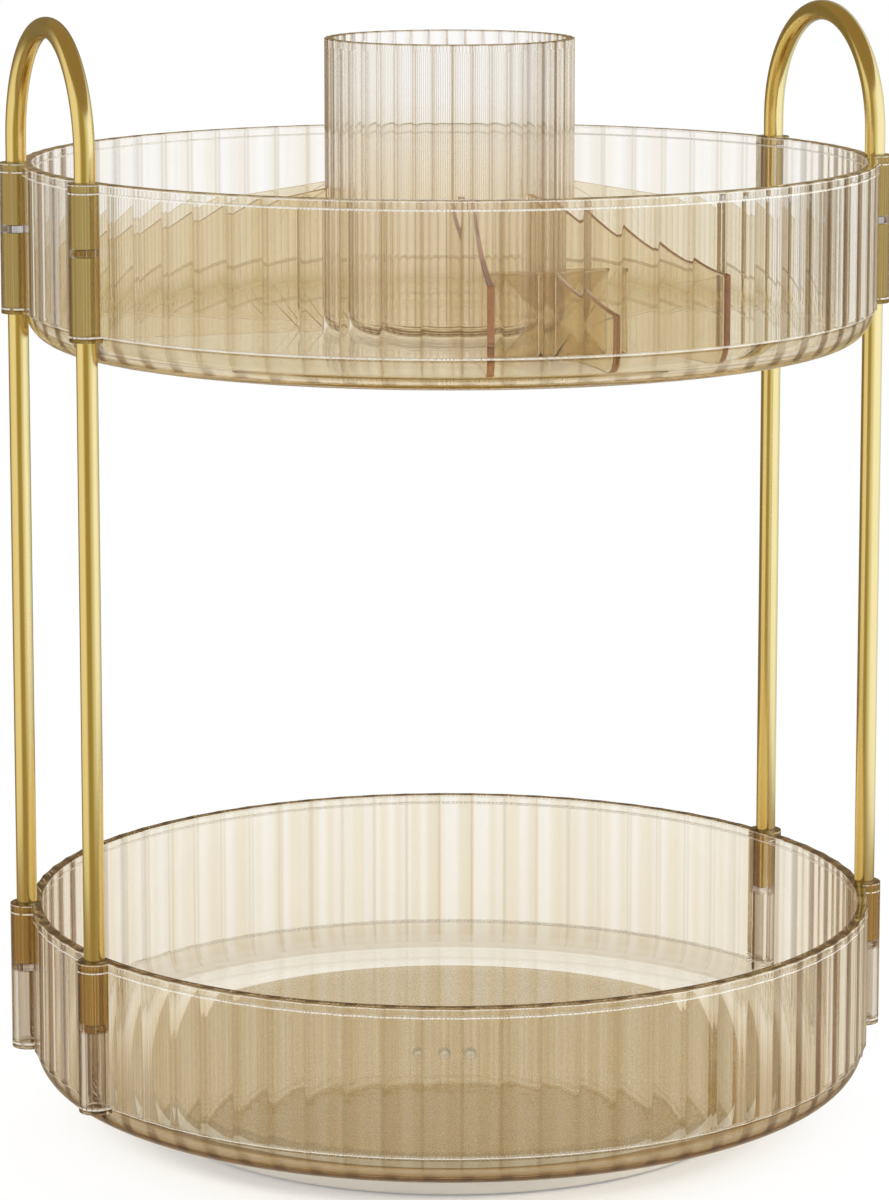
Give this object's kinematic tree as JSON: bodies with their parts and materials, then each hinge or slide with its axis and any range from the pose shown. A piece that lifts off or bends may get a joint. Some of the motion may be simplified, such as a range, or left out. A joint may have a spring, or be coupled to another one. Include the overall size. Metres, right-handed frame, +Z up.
{
  "type": "rotating cosmetics organizer",
  "caption": "Clear two-tier turntable organizer: fluted round trays on metal posts with hoop handles, upright dividers and a lift-out brush cup, on a ball-bearing foot.",
  "frame": {"origin": "on the table under the middle of the foot", "axes": "+Z up along the turning axis, hoop handles at +X and -X, narrow front slot at -Y"},
  "size_m": [0.2522, 0.25, 0.3285],
  "materials": {
    "amber_clear": "clear, glossy, light amber",
    "gold_tube": "satin gold plating",
    "white_plastic": "white, low sheen",
    "soft_rubber": "matt",
    "bright_steel": "bright",
    "black_plastic": "matt"
  },
  "bodies": {
    "foot": {"foot_base": "white_plastic", "foot_pads": "soft_rubber", "bearing_race_lower": "bright_steel", "pivot_shaft": "bright_steel", "pivot_washer": "bright_steel", "pivot_nut": "bright_steel"},
    "turntable": {"bearing_race_upper": "bright_steel", "turntable_plate": "amber_clear", "lower_tray": "amber_clear", "upper_tray": "amber_clear", "post_right_front": "gold_tube", "post_right_back": "gold_tube", "post_left_front": "gold_tube", "post_left_back": "gold_tube", "handle_right": "gold_tube", "handle_left": "gold_tube", "divider_slot_left": "amber_clear", "divider_slot_right": "amber_clear", "divider_right": "amber_clear", "divider_left": "amber_clear", "divider_back_left": "amber_clear", "cross_wall": "amber_clear", "half_divider": "amber_clear"},
    "ball_cage": {"bearing_cage": "black_plastic", "bearing_balls": "bright_steel"},
    "cup": {"brush_cup": "amber_clear"}
  },
  "joints": [
    {"name": "turntable_spin", "type": "hinge", "parent": "foot", "child": "turntable", "pos_m": [0, 0, 0.0067], "axis": [0, 0, 1], "continuous": true},
    {"name": "ball_cage_spin", "type": "hinge", "parent": "foot", "child": "ball_cage", "pos_m": [0, 0, 0.0067], "axis": [0, 0, 1], "continuous": true},
    {"name": "cup_lift", "type": "slide", "parent": "turntable", "child": "cup", "axis": [0, 0, 1], "range_m": [0, 0.06]}
  ],
  "couplings": [
    {"joint": "ball_cage_spin", "follows": "turntable_spin", "ratio": 0.5}
  ]
}
